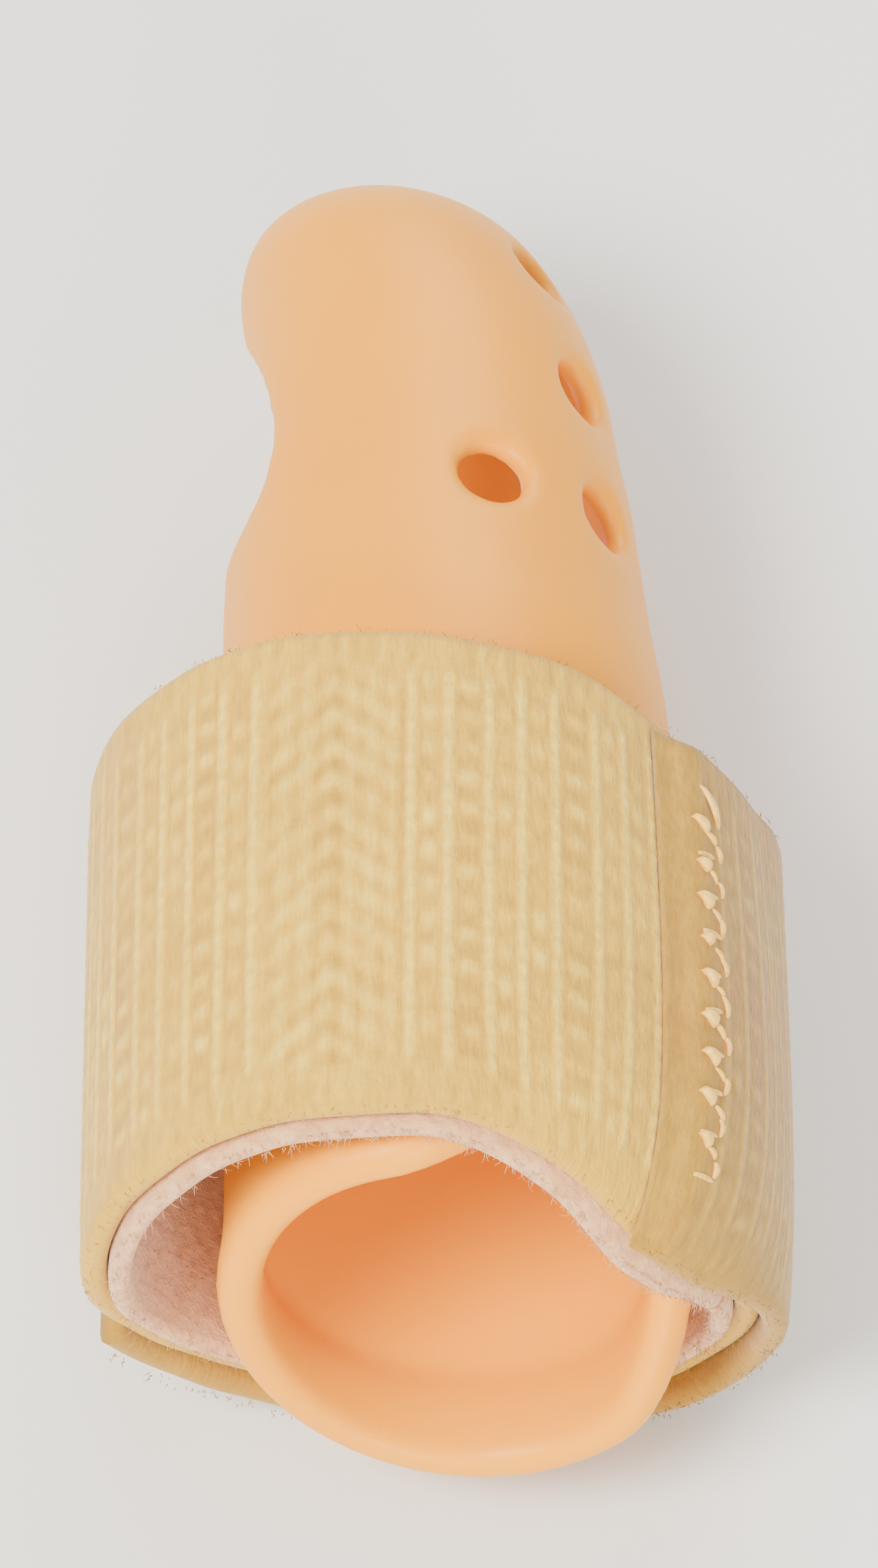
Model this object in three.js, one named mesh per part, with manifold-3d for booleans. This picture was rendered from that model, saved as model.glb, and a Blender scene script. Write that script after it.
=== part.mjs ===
// A moulded finger splint with its fastened strap, lying on the strap's flat far side.
// Millimetres. +Z is up, +Y points to the closed fingertip, and the origin is the middle of the base.
import * as THREE from "three";
import { mergeVertices } from "three/addons/utils/BufferGeometryUtils.js";
import Module from "manifold-3d";

const wasm = await Module();
wasm.setup();

// Shell sizes
const SHELL_LENGTH = 61;
const RIM_RADIUS = 10.9;
const WALL = 1.4;
const LIP_WALL = 2.1;
const LIP_LENGTH = 3;
const RIM_SLANT = 2.5;
const RIM_SLANT_LENGTH = 16;
const PAD_CUT = 6.5;
const PAD_CUT_ANGLE = 75;

// Turns are degrees from +Z towards +X, seen from the open end.
const RIM_SLANT_TURN = -20;
const PAD_TURN = 57;

// Window over the nail
const WINDOW_START = 40;
const WINDOW_LENGTH = 13.8;
const WINDOW_HALF_ANGLE = 68;
const WINDOW_CORNER = 3.4;

// Ventilation holes
const HOLE_RADIUS = 1.6;
const HOLE_EDGE = 0.5;
const FIRST_HOLE = 39.2;
const HOLE_PITCH = 7.6;
const HOLE_ROWS = 3;
const SIDE_HOLE_ANGLE = 40;

// Strap sizes
const STRAP_WIDTH = 25;
const TAPE = 1;
const LINING = 1;
const TAB = 1;
const CLEARANCE = 0.3;
const LOOP_SLACK = 3.6;
const SHELL_PAST_STRAP = 2.4;
const LINING_SHOWS = 0.5;
const STRAP_SLIP = 3.4;
const NEAR_DRAW = 2;
const FAR_DRAW = 0.9;

// Strap ends, as turns round the loop
const BAND_SEAM_TURN = 66;
const LINING_SEAM_TURN = 92;
const TAB_START_TURN = 43;
const TAB_END_TURN = 250;
const TAB_END_RISE = 0.6;
const TAB_EDGE = -1;

// Mesh fineness
const SHELL_COLUMNS = 44;
const SHELL_ROWS = 30;
const LIP_STEPS = 4;
const WINDOW_STEPS = 16;
const HOLE_SIDES = 20;
const LOOP_STEPS = 64;
const TAPE_ROWS = 5;

const COLOURS = { shell: 0xefc282, band: 0xe2c396, lining: 0xdcb8a4, tab: 0xd6b888 };

// Shell sections from the rim to the tip, as shares of the length and of the rim radius.
// The offset moves the section's middle towards the pad side.
const SHELL_SECTIONS = [
  { along: 0, width: 1, depth: 0.99, offset: 0 },
  { along: 0.05, width: 0.972, depth: 0.963, offset: 0 },
  { along: 0.15, width: 0.97, depth: 0.962, offset: -0.005 },
  { along: 0.3, width: 0.967, depth: 0.957, offset: -0.02 },
  { along: 0.48, width: 0.955, depth: 0.945, offset: -0.045 },
  { along: 0.585, width: 0.925, depth: 0.915, offset: -0.1 },
  { along: 0.68, width: 0.87, depth: 0.875, offset: -0.125 },
  { along: 0.74, width: 0.825, depth: 0.815, offset: -0.13 },
  { along: 0.8, width: 0.795, depth: 0.785, offset: -0.155 },
  { along: 0.866, width: 0.75, depth: 0.74, offset: -0.225 },
  { along: 0.92, width: 0.685, depth: 0.68, offset: -0.315 },
  { along: 0.96, width: 0.56, depth: 0.56, offset: -0.39 },
  { along: 0.987, width: 0.355, depth: 0.355, offset: -0.44 },
  { along: 1, width: 0, depth: 0, offset: -0.46 },
];

// Strap loop, round the shell. Slack is a share of LOOP_SLACK. The near edge, at the open end, slips
// towards it by low x STRAP_SLIP, and the far edge by high x STRAP_SLIP. Each edge is drawn in to the
// finger by its share of NEAR_DRAW or FAR_DRAW.
const LOOP_ROWS = [
  { turn: 0, slack: 0, low: 0.05, high: 0.05, near: 0.1, far: 0.5 },
  { turn: 24, slack: 0, low: 0.5, high: 0.25, near: 0.6, far: 0.8 },
  { turn: 46, slack: 0, low: 0.95, high: 0.6, near: 1, far: 1 },
  { turn: 66, slack: 0, low: 1, high: 0.7, near: 0.9, far: 1 },
  { turn: 84, slack: 0.04, low: 0.75, high: 0.55, near: 0.5, far: 0.9 },
  { turn: 102, slack: 0.22, low: 0.4, high: 0.25, near: 0.2, far: 0.4 },
  { turn: 117, slack: 0.42, low: 0.15, high: 0.1, near: 0.1, far: 0 },
  { turn: 129, slack: 0.52, low: 0, high: 0, near: 0, far: 0 },
  { turn: 142, slack: 0.53, low: 0, high: 0, near: 0, far: 0 },
  { turn: 159, slack: 0.33, low: 0, high: 0, near: 0, far: 0 },
  { turn: 180, slack: 0, low: 0, high: 0, near: 0, far: 0 },
  { turn: 204, slack: 0.22, low: 0, high: 0, near: 0, far: 0 },
  { turn: 224, slack: 0.42, low: 0, high: 0, near: 0, far: 0 },
  { turn: 246, slack: 0.72, low: 0.15, high: 0.1, near: 0, far: 0 },
  { turn: 270, slack: 0.95, low: 0.45, high: 0.25, near: 0, far: 0 },
  { turn: 291, slack: 0.88, low: 0.25, high: 0.1, near: 0, far: 0 },
  { turn: 314, slack: 0.55, low: 0, high: -0.1, near: 0, far: 0.1 },
  { turn: 338, slack: 0.15, low: -0.05, high: -0.1, near: 0, far: 0.3 },
];

const radians = THREE.MathUtils.degToRad;
const LOOP_REACH = RIM_RADIUS + CLEARANCE;

// Unit vector across the axis at a turn.
function outward(turn) {
  return new THREE.Vector3(Math.sin(radians(turn)), 0, Math.cos(radians(turn)));
}

// Value between four even rows, by a Catmull-Rom curve.
function between(a, b, c, d, t) {
  const rise = (c - a) / 2;
  const fall = (d - b) / 2;
  const h = t * t * (3 - 2 * t);
  return b + (c - b) * h + rise * t * (1 - t) * (1 - t) - fall * t * t * (1 - t);
}

// Shell section at a place from 0 at the rim to 1 at the tip, counted in table rows.
function sectionAt(place) {
  const last = SHELL_SECTIONS.length - 1;
  const i = Math.min(Math.floor(place * last), last - 1);
  const before = SHELL_SECTIONS[Math.max(i - 1, 0)];
  const a = SHELL_SECTIONS[i];
  const b = SHELL_SECTIONS[i + 1];
  const beyond = { ...a, width: -a.width, depth: -a.depth };
  const after = i + 2 > last ? beyond : SHELL_SECTIONS[i + 2];
  const mix = (key) => between(before[key], a[key], b[key], after[key], place * last - i);
  return {
    y: mix("along") * SHELL_LENGTH,
    width: mix("width") * RIM_RADIUS,
    depth: mix("depth") * RIM_RADIUS,
    offset: mix("offset") * RIM_RADIUS,
  };
}

// How far the open end stands back at an angle from the pad side: its slant, and the cut for the bent finger.
function rimSlant(angle) {
  const slant = RIM_SLANT * Math.cos(radians(PAD_TURN + angle - RIM_SLANT_TURN));
  const fromPad = Math.abs(((angle + 540) % 360) - 180);
  const inCut = Math.max(0, 1 - (fromPad / PAD_CUT_ANGLE) ** 2);
  return slant + PAD_CUT * inCut * inCut;
}

// Point of the shell's outside. The angle is counted from the pad side.
function shellPoint(place, angle) {
  const s = sectionAt(place);
  const pad = outward(PAD_TURN).multiplyScalar(s.offset + s.depth * Math.cos(radians(angle)));
  const side = outward(PAD_TURN + 90).multiplyScalar(s.width * Math.sin(radians(angle)));
  const fade = Math.max(0, 1 - s.y / RIM_SLANT_LENGTH);
  return new THREE.Vector3(0, s.y + rimSlant(angle) * fade * fade, 0).add(pad).add(side);
}

// Outward normal of the shell's outside.
function shellNormal(place, angle) {
  const step = 1e-3;
  const p = Math.min(Math.max(place, step), 1 - step);
  const along = shellPoint(p + step, angle).sub(shellPoint(p - step, angle));
  const round = shellPoint(p, angle + 1).sub(shellPoint(p, angle - 1));
  return round.cross(along).normalize();
}

function wallAt(y) {
  const inLip = Math.max(0, 1 - y / LIP_LENGTH);
  return WALL + (LIP_WALL - WALL) * inLip * (2 - inLip);
}

// Rows of points of the shell: up the outside, over the tip, and down the inside to the rounded lip.
function shellRings() {
  const places = [];
  for (let j = 0; j < SHELL_ROWS; j++) places.push(j / SHELL_ROWS);
  const angles = [];
  for (let i = 0; i < SHELL_COLUMNS; i++) angles.push((360 * i) / SHELL_COLUMNS);
  const outside = places.map((p) => angles.map((a) => shellPoint(p, a)));
  const inset = (p, a) => shellPoint(p, a).addScaledVector(shellNormal(p, a), -wallAt(sectionAt(p).y));
  const inside = places.map((p) => angles.map((a) => inset(p, a)));
  return { outside, inside, lip: lipRings(outside[0], inside[0]) };
}

// Half-round lip between the outer and the inner edge of the open end.
function lipRings(outer, inner) {
  const rings = [];
  for (let k = 1; k < LIP_STEPS; k++) {
    const bend = (Math.PI * k) / LIP_STEPS;
    rings.push(
      outer.map((point, i) => {
        const middle = point.clone().add(inner[i]).multiplyScalar(0.5);
        const reach = point.clone().sub(middle).multiplyScalar(Math.cos(bend));
        return middle.add(reach).add(new THREE.Vector3(0, (-LIP_WALL / 2) * Math.sin(bend), 0));
      }),
    );
  }
  return rings;
}

// Closed solid from rings of points. Each end is a fan to its point or, without one, a strip of quads.
function solidFromRings(rings, startPoint, endPoint) {
  const points = rings.flat();
  const count = rings[0].length;
  const faces = [];
  for (let j = 0; j + 1 < rings.length; j++) {
    for (let i = 0; i < count; i++) {
      const a = j * count + i;
      const b = j * count + ((i + 1) % count);
      faces.push(a, b, b + count, a, b + count, a + count);
    }
  }
  const lastRing = (rings.length - 1) * count;
  if (startPoint) {
    faces.push(...fan(points, 0, count, startPoint, true), ...fan(points, lastRing, count, endPoint, false));
  } else {
    faces.push(...strip(0, count, true), ...strip(lastRing, count, false));
  }
  return toManifold(points, faces);
}

// Faces from one ring to a point, which it adds.
function fan(points, first, count, point, start) {
  const apex = points.push(point) - 1;
  const faces = [];
  for (let i = 0; i < count; i++) {
    const a = first + i;
    const b = first + ((i + 1) % count);
    faces.push(apex, start ? b : a, start ? a : b);
  }
  return faces;
}

// Faces across a long narrow ring, from its first half to its second.
function strip(first, count, start) {
  const faces = [];
  for (let j = 0; j < count / 2 - 1; j++) {
    const [a, b, c, d] = [first + j, first + j + 1, first + count - 2 - j, first + count - 1 - j];
    faces.push(...(start ? [b, a, d, b, d, c] : [a, b, c, a, c, d]));
  }
  return faces;
}

function toManifold(points, faces) {
  const vertProperties = new Float32Array(points.flatMap((p) => [p.x, p.y, p.z]));
  return new wasm.Manifold(new wasm.Mesh({ numProp: 3, vertProperties, triVerts: new Uint32Array(faces) }));
}

// A three.js geometry without normals and uvs, as a manifold solid.
function geometrySolid(geometry) {
  geometry.deleteAttribute("normal");
  geometry.deleteAttribute("uv");
  const merged = mergeVertices(geometry, 1e-4);
  const vertProperties = merged.getAttribute("position").array;
  const triVerts = new Uint32Array(merged.index.array);
  return new wasm.Manifold(new wasm.Mesh({ numProp: 3, vertProperties, triVerts }));
}

// Place whose section lies at a length from the rim.
function placeOfLength(length) {
  let low = 0;
  let high = 1;
  for (let k = 0; k < 40; k++) {
    const middle = (low + high) / 2;
    if (sectionAt(middle).y < length) low = middle;
    else high = middle;
  }
  return (low + high) / 2;
}

// Half of the window's angle at a length from its square end: full, closing in an ellipse, corners rounded.
function windowHalfAngle(length) {
  const oval = Math.sqrt(Math.max(0, 1 - (length / WINDOW_LENGTH) ** 2));
  const inCorner = Math.max(0, 1 - length / WINDOW_CORNER);
  const cornerAngle = (WINDOW_CORNER / RIM_RADIUS) * (180 / Math.PI);
  return WINDOW_HALF_ANGLE * oval - cornerAngle * (1 - Math.sqrt(1 - inCorner ** 2));
}

// Wedge through the shell's wall, of the window's outline.
function windowCutter() {
  const outline = [];
  for (let side = 1; side >= -1; side -= 2) {
    for (let k = 0; k <= WINDOW_STEPS; k++) {
      const share = side > 0 ? k / WINDOW_STEPS : 1 - k / WINDOW_STEPS;
      const length = WINDOW_LENGTH * Math.sin((share * Math.PI) / 2) ** 2;
      if (share === 1 && side < 0) continue;
      outline.push({ y: WINDOW_START + length, angle: 180 + side * windowHalfAngle(length) });
    }
  }
  const pointAt = (reach, y, angle) => {
    const middle = outward(PAD_TURN).multiplyScalar(sectionAt(placeOfLength(y)).offset);
    return outward(PAD_TURN + angle).multiplyScalar(reach).add(middle).setY(y);
  };
  const ring = (reach) => outline.map(({ y, angle }) => pointAt(reach, y, angle));
  const middleOf = (reach) => pointAt(reach, WINDOW_START + WINDOW_LENGTH / 2, 180);
  const inner = RIM_RADIUS * 0.45;
  const outer = RIM_RADIUS * 1.1;
  return solidFromRings([ring(inner), ring(outer)], middleOf(inner), middleOf(outer));
}

// Round cutter with a flared mouth, from inside the shell to outside it.
function holeCutter(length, angle) {
  const profile = [
    [0, -2 * WALL],
    [HOLE_RADIUS, -2 * WALL],
    [HOLE_RADIUS, -HOLE_EDGE],
    [HOLE_RADIUS + HOLE_EDGE * 0.35, -HOLE_EDGE * 0.35],
    [HOLE_RADIUS + HOLE_EDGE * 1.2, HOLE_EDGE * 0.4],
    [HOLE_RADIUS + HOLE_EDGE * 1.2, 2 * WALL],
    [0, 2 * WALL],
  ].map(([r, h]) => new THREE.Vector2(r, h));
  const place = placeOfLength(length);
  const turnTo = new THREE.Quaternion().setFromUnitVectors(
    new THREE.Vector3(0, 1, 0),
    shellNormal(place, angle),
  );
  const geometry = new THREE.LatheGeometry(profile, HOLE_SIDES).applyQuaternion(turnTo);
  const centre = shellPoint(place, angle);
  return geometrySolid(geometry.translate(centre.x, centre.y, centre.z));
}

function holeCutters() {
  const cutters = [];
  for (let row = 0; row < HOLE_ROWS; row++) cutters.push(holeCutter(FIRST_HOLE + row * HOLE_PITCH, 0));
  cutters.push(holeCutter(FIRST_HOLE, -SIDE_HOLE_ANGLE));
  cutters.push(holeCutter(FIRST_HOLE, SIDE_HOLE_ANGLE));
  return cutters;
}

function splintShell() {
  const { outside, inside, lip } = shellRings();
  const tip = shellPoint(1, 0);
  const innerTip = tip.clone().setY(tip.y - WALL);
  const rings = [...inside.slice().reverse(), ...lip.slice().reverse(), ...outside];
  let solid = solidFromRings(rings, innerTip, tip);
  for (const cutter of [windowCutter(), ...holeCutters()]) solid = solid.subtract(cutter);
  return geometryOf(solid);
}

function geometryOf(solid) {
  const { vertProperties, triVerts } = solid.getMesh();
  const geometry = new THREE.BufferGeometry();
  geometry.setAttribute("position", new THREE.BufferAttribute(vertProperties, 3));
  geometry.setIndex(new THREE.BufferAttribute(triVerts, 1));
  geometry.computeVertexNormals();
  return geometry;
}

// Loop's row values at a turn, through the table's rows as a closed curve.
function loopAt(turn) {
  const count = LOOP_ROWS.length;
  const wrapped = ((turn % 360) + 360) % 360;
  let i = count - 1;
  while (LOOP_ROWS[i].turn > wrapped) i--;
  const at = (k) => LOOP_ROWS[(k + count) % count];
  const span = i + 1 < count ? at(i + 1).turn - at(i).turn : 360 - at(i).turn;
  const t = (wrapped - at(i).turn) / span;
  const mix = (key) => between(at(i - 1)[key], at(i)[key], at(i + 1)[key], at(i + 2)[key], t);
  return {
    slack: mix("slack"),
    low: mix("low") * STRAP_SLIP,
    high: mix("high") * STRAP_SLIP,
    near: mix("near") * NEAR_DRAW,
    far: mix("far") * FAR_DRAW,
  };
}

// Point of the loop's innermost face at a turn and a height y above the strap's open end.
function loopPoint(turn, y) {
  const row = loopAt(turn);
  const across = Math.min((y + row.low) / (STRAP_WIDTH + row.low - row.high), 1);
  const drawn = row.near * (1 - across) ** 7 + row.far * across ** 2;
  const point = outward(turn).multiplyScalar(LOOP_REACH + LOOP_SLACK * row.slack - drawn);
  return point.setY(y).setZ(Math.max(point.z, -LOOP_REACH));
}

function loopNormal(turn, y) {
  const along = loopPoint(turn + 1, y).sub(loopPoint(turn - 1, y));
  return along.cross(new THREE.Vector3(0, 1, 0)).normalize();
}

// Turns of a tape's cross-sections: its two ends, and between them the same even turns for each tape.
function tapeTurns(from, to) {
  const pitch = 360 / LOOP_STEPS;
  const turns = [from];
  for (let k = Math.ceil(from / pitch + 0.3); k * pitch < to - 0.3 * pitch; k++) turns.push(k * pitch);
  turns.push(to);
  return turns;
}

// Tape round part of the loop, standing off the innermost face. Its last end can rise towards the tip.
function tape({ from, to, standOff, thickness, edge = 0, rise = 0 }) {
  const rings = [];
  for (const turn of tapeTurns(from, to)) {
    const share = (turn - from) / (to - from);
    const { low, high } = loopAt(turn);
    const start = edge - low + rise * share ** 3;
    const width = STRAP_WIDTH + low - high;
    const line = (reach) => {
      const points = [];
      for (let j = 0; j <= TAPE_ROWS; j++) {
        const y = start + width * (j / TAPE_ROWS) ** 1.5;
        points.push(loopPoint(turn, y).addScaledVector(loopNormal(turn, y), reach));
      }
      return points;
    };
    rings.push([...line(standOff), ...line(standOff + thickness).reverse()]);
  }
  return geometryOf(solidFromRings(rings));
}

function strapLining() {
  const gap = THREE.MathUtils.radToDeg(CLEARANCE / LOOP_REACH);
  const from = LINING_SEAM_TURN + gap;
  return tape({ from, to: LINING_SEAM_TURN + 360, standOff: 0, thickness: LINING, edge: -LINING_SHOWS });
}

function strapBand() {
  const gap = THREE.MathUtils.radToDeg(CLEARANCE / LOOP_REACH);
  const standOff = LINING + CLEARANCE;
  return tape({ from: BAND_SEAM_TURN + gap, to: BAND_SEAM_TURN + 360, standOff, thickness: TAPE });
}

function hookTab() {
  const standOff = LINING + TAPE + 2 * CLEARANCE;
  return tape({ from: TAB_START_TURN, to: TAB_END_TURN, standOff, thickness: TAB, edge: TAB_EDGE, rise: TAB_END_RISE });
}

function piece(name, geometry, colour, roughness) {
  const material = new THREE.MeshStandardMaterial({ color: colour, roughness, metalness: 0 });
  const mesh = new THREE.Mesh(geometry, material);
  mesh.name = name;
  return mesh;
}

const splint = new THREE.Group();
const shell = piece("splint_shell", splintShell(), COLOURS.shell, 0.35);
shell.position.y = -SHELL_PAST_STRAP;
splint.add(shell);
splint.add(piece("strap_lining", strapLining(), COLOURS.lining, 0.95));
splint.add(piece("strap_band", strapBand(), COLOURS.band, 0.9));
splint.add(piece("hook_tab", hookTab(), COLOURS.tab, 0.9));

const reach = new THREE.Box3().setFromObject(splint, true);
const centre = reach.getCenter(new THREE.Vector3());
splint.position.set(-centre.x, -centre.y, -reach.min.z);

const part = new THREE.Group();
part.add(splint);

export default part;
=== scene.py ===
# Looks of a moulded finger splint with its fastened strap. Lengths are in millimetres until to_object.
import math

import bpy
import numpy as np
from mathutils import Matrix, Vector, kdtree, noise


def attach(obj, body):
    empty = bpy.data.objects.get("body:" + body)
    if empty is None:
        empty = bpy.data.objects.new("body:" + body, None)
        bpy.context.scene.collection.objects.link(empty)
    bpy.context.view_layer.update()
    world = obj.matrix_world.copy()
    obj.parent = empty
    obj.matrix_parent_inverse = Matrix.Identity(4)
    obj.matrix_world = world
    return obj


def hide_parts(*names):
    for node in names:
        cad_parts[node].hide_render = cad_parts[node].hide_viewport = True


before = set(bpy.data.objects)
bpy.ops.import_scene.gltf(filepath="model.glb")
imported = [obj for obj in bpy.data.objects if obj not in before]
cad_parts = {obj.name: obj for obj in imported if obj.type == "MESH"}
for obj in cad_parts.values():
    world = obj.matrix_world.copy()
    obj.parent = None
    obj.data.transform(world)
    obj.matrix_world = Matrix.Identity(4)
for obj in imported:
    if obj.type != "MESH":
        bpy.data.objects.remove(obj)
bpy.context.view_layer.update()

MM = 0.001
SEED = 7

# Shell sizes, as in the solids
SHELL_LENGTH = 61
RIM_RADIUS = 10.9
WALL = 1.4
LIP_WALL = 2.1
LIP_LENGTH = 3
RIM_SLANT = 2.5
RIM_SLANT_LENGTH = 16
PAD_CUT = 6.5
PAD_CUT_ANGLE = 75
RIM_SLANT_TURN = -20
PAD_TURN = 57
WINDOW_START = 40
WINDOW_LENGTH = 13.8
WINDOW_HALF_ANGLE = 68
WINDOW_CORNER = 3.4
HOLE_RADIUS = 1.6
FIRST_HOLE = 39.2
HOLE_PITCH = 7.6
HOLE_ROWS = 3
SIDE_HOLE_ANGLE = 40

# Strap sizes, as in the solids
STRAP_WIDTH = 25
TAPE = 1
LINING = 1
TAB = 1
CLEARANCE = 0.3
LOOP_SLACK = 3.6
SHELL_PAST_STRAP = 2.4
LINING_SHOWS = 0.5
STRAP_SLIP = 3.4
NEAR_DRAW = 2
FAR_DRAW = 0.9
BAND_SEAM_TURN = 66
LINING_SEAM_TURN = 92
TAB_START_TURN = 43
TAB_END_TURN = 250
TAB_END_RISE = 0.6
TAB_EDGE = -1
LOOP_REACH = RIM_RADIUS + CLEARANCE
TAPE_RADIUS = LOOP_REACH + 2.2

# Fineness of the meshes
SHELL_COLUMNS = 180
SHELL_ROWS = 150
LIP_STEPS = 10
SHELL_VOXEL = 0.27
SHELL_SMOOTH_TIMES = 10
SHELL_TRIANGLES = 190000
SMOOTH_FACTOR = 0.5
# Steps round the loop and across the tape
WOVEN_STEPS = (0.15, 0.3)
LINING_STEPS = (0.4, 0.4)
TAPE_EDGE_STEPS = 5
WINDOW_STEPS = 40
HOLE_SIDES = 48
# How far from the shell's cut edges, and how many times, they are smoothed again
SOFT_REACH = 2.6
SOFT_TIMES = 52
HOLE_SOFTNESS = 0.45

# How far from the axis the window's cutter reaches, as shares of the rim's radius
WINDOW_CUT_REACH = (0.45, 1.1)

# A hole's cutter: added radius, height over the shell
HOLE_PROFILE = [(0, -3), (0, -0.5), (0.2, -0.15), (0.7, 0.3), (0.7, 3)]
HOLE_RIM_RING = 2

# along, width, depth, offset
SHELL_SECTIONS = [
    (0, 1, 0.99, 0),
    (0.05, 0.972, 0.963, 0),
    (0.15, 0.97, 0.962, -0.005),
    (0.3, 0.967, 0.957, -0.02),
    (0.48, 0.955, 0.945, -0.045),
    (0.585, 0.925, 0.915, -0.1),
    (0.68, 0.87, 0.875, -0.125),
    (0.74, 0.825, 0.815, -0.13),
    (0.8, 0.795, 0.785, -0.155),
    (0.866, 0.75, 0.74, -0.225),
    (0.92, 0.685, 0.68, -0.315),
    (0.96, 0.56, 0.56, -0.39),
    (0.987, 0.355, 0.355, -0.44),
    (1, 0, 0, -0.46),
]

# turn, slack, low, high, near, far
LOOP_ROWS = [
    (0, 0, 0.05, 0.05, 0.1, 0.5),
    (24, 0, 0.5, 0.25, 0.6, 0.8),
    (46, 0, 0.95, 0.6, 1, 1),
    (66, 0, 1, 0.7, 0.9, 1),
    (84, 0.04, 0.75, 0.55, 0.5, 0.9),
    (102, 0.22, 0.4, 0.25, 0.2, 0.4),
    (117, 0.42, 0.15, 0.1, 0.1, 0),
    (129, 0.52, 0, 0, 0, 0),
    (142, 0.53, 0, 0, 0, 0),
    (159, 0.33, 0, 0, 0, 0),
    (180, 0, 0, 0, 0, 0),
    (204, 0.22, 0, 0, 0, 0),
    (224, 0.42, 0, 0, 0, 0),
    (246, 0.72, 0.15, 0.1, 0, 0),
    (270, 0.95, 0.45, 0.25, 0, 0),
    (291, 0.88, 0.25, 0.1, 0, 0),
    (314, 0.55, 0, -0.1, 0, 0.1),
    (338, 0.15, -0.05, -0.1, 0, 0.3),
]

# Weave columns round the tape: kind and width. They repeat.
WEAVE_COLUMNS = [
    ("chevron", 5.8),
    ("rib", 0.65),
    ("dash", 0.8),
    ("rib", 0.65),
    ("ladder", 1.0),
    ("rib", 0.6),
    ("dash", 0.7),
    ("rib", 0.6),
    ("dash", 0.75),
    ("rib", 0.55),
    ("ladder", 1.1),
    ("rib", 0.6),
    ("dash", 0.7),
    ("rib", 0.6),
    ("dash", 0.8),
    ("rib", 0.55),
    ("ladder", 0.9),
    ("rib", 0.6),
    ("dash", 0.75),
    ("rib", 0.6),
]
WEAVE_START = -8.1
RIB_PITCH = 0.9
RUNG_PITCH = 1.65
RUNG_SHIFT = 0.13
DASH_PITCH = 1.815
DASH_SHIFT = 0.37
CHEVRON_PITCH = 1.7
CHEVRON_DIMPLE = 0.2
FINE_PITCH = 0.9
SELVEDGE = 2.2
SELVEDGE_PITCH = 0.8
# Cell sizes of the uneven yarn, of the selvedge's yarn and of the wear, round the tape and across it
YARN_CELL = (0.45, 0.5)
SELVEDGE_CELL = (0.4, 0.9)
WORN_CELL = (2.3, 3.1)
# How far in from its edges a tape waves, how much and how often
WAVE_REACH = 5
WAVE_HEIGHT = 0.12
WAVE_RATE = 0.35
RELIEF = 0.17
LINING_RELIEF = 0.08
# Weave height that lies on the solids' face, and the one that the smooth faces take, which gives their edges
# and inner face a tone partway into the weave's painted shade
RELIEF_ZERO = 0.7
PLAIN_RELIEF = 0.35
# Share of its thickness that a tape keeps where its seam presses it
PRESSED_SHARE = 0.16
PRESSED_LENGTH = 1.6
TAB_RELIEF = 0.11
# The dressed tapes fill most of the gap that the solids keep
FILL = 0.28


# Forms that the solids share


def outward(turn):
    """Unit vectors across the axis at turns in degrees, in arrays of three."""
    a = np.radians(turn)
    return np.stack([np.sin(a), np.zeros_like(a), np.cos(a)], axis=-1)


def between(a, b, c, d, t):
    rise = (c - a) / 2
    fall = (d - b) / 2
    h = t * t * (3 - 2 * t)
    return b + (c - b) * h + rise * t * (1 - t) ** 2 - fall * t * t * (1 - t)


def section_at(place):
    """Section at each place from 0 at the rim to 1 at the tip: y, width, depth and offset."""
    rows = np.array(SHELL_SECTIONS, dtype=float)
    last = len(rows) - 1
    spot = np.asarray(place, dtype=float) * last
    i = np.clip(np.floor(spot).astype(int), 0, last - 1)
    before = rows[np.maximum(i - 1, 0)]
    after = rows[np.minimum(i + 2, last)].copy()
    beyond = rows[i] * np.array([1, -1, -1, 1])
    past = (i + 2 > last)[..., None]
    after = np.where(past, beyond, after)
    row = between(before, rows[i], rows[i + 1], after, (spot - i)[..., None])
    return row * np.array([SHELL_LENGTH, RIM_RADIUS, RIM_RADIUS, RIM_RADIUS])


def rim_slant(angle):
    slant = RIM_SLANT * np.cos(np.radians(PAD_TURN + angle - RIM_SLANT_TURN))
    from_pad = np.abs((angle + 540) % 360 - 180)
    in_cut = np.maximum(0, 1 - (from_pad / PAD_CUT_ANGLE) ** 2)
    return slant + PAD_CUT * in_cut**2


def shell_point(place, angle):
    place, angle = np.broadcast_arrays(np.asarray(place, float), np.asarray(angle, float))
    y, width, depth, offset = np.moveaxis(section_at(place), -1, 0)
    fade = np.maximum(0, 1 - y / RIM_SLANT_LENGTH)
    pad = outward(np.float64(PAD_TURN)) * (offset + depth * np.cos(np.radians(angle)))[..., None]
    side = outward(np.float64(PAD_TURN + 90)) * (width * np.sin(np.radians(angle)))[..., None]
    point = pad + side
    point[..., 1] += y + rim_slant(angle) * fade**2
    return point


def unit(v):
    return v / np.linalg.norm(v, axis=-1, keepdims=True)


def shell_normal(place, angle):
    step = 1e-3
    p = np.clip(place, step, 1 - step)
    along = shell_point(p + step, angle) - shell_point(p - step, angle)
    around = shell_point(p, np.asarray(angle) + 1) - shell_point(p, np.asarray(angle) - 1)
    return unit(np.cross(around, along))


def place_of(length):
    low, high = 0.0, 1.0
    for _ in range(40):
        middle = (low + high) / 2
        if section_at(middle)[0] < length:
            low = middle
        else:
            high = middle
    return (low + high) / 2


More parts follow.
